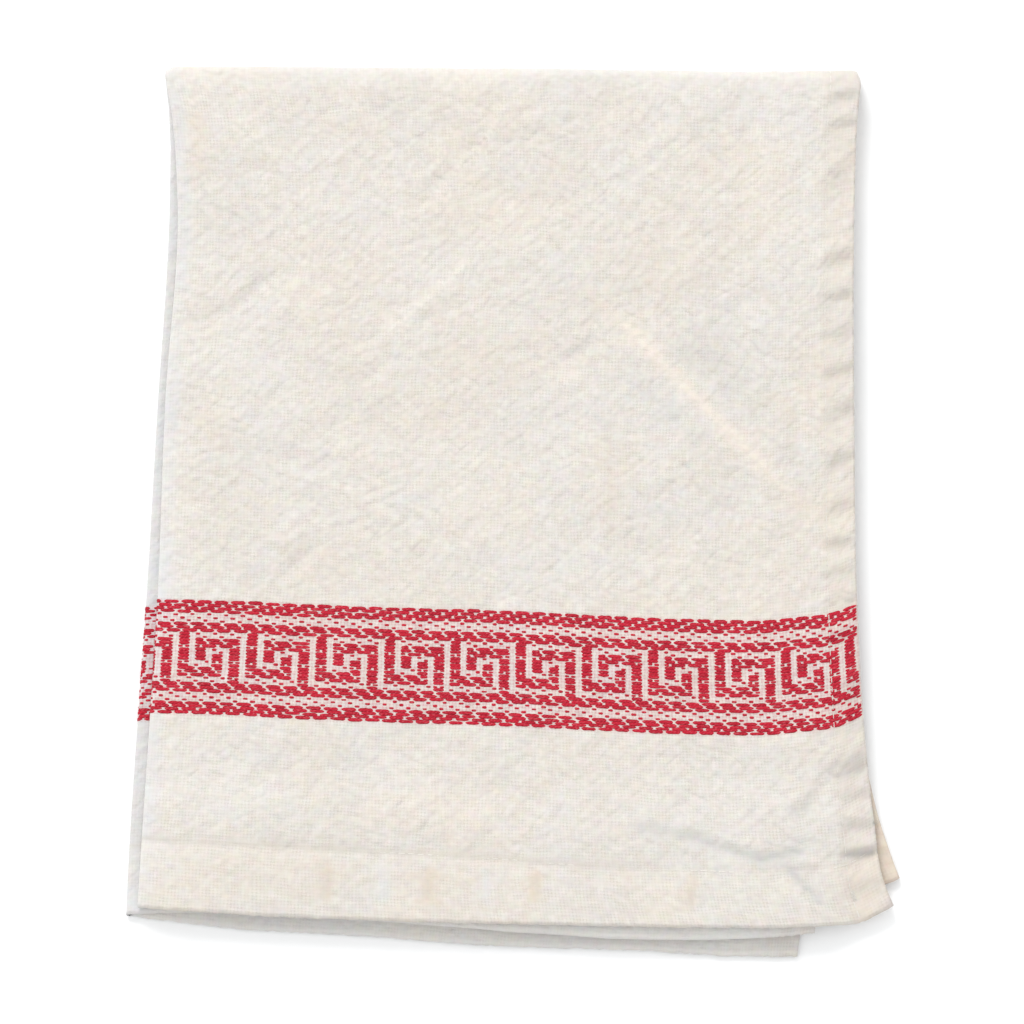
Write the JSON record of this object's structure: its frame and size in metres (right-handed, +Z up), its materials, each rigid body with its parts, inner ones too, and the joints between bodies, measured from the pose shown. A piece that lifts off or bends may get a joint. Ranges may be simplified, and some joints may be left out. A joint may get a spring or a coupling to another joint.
{
  "type": "tea towel",
  "caption": "Cream cotton tea towel with a red woven Greek key border, hemmed all round, folded in quarters and lying flat face up.",
  "frame": {"origin": "on the surface the towel lies on, under the middle of its bounding box", "axes": "+Z up; +Y towards the crosswise fold; +X from the lengthwise folds towards the side hems"},
  "size_m": [0.2798, 0.3212, 0.0092],
  "materials": {
    "cotton": "plain-woven cream cotton, matt and slightly crumpled, with a border of red floats"
  },
  "bodies": {
    "root": {"tea_towel": "cotton"}
  },
  "joints": []
}
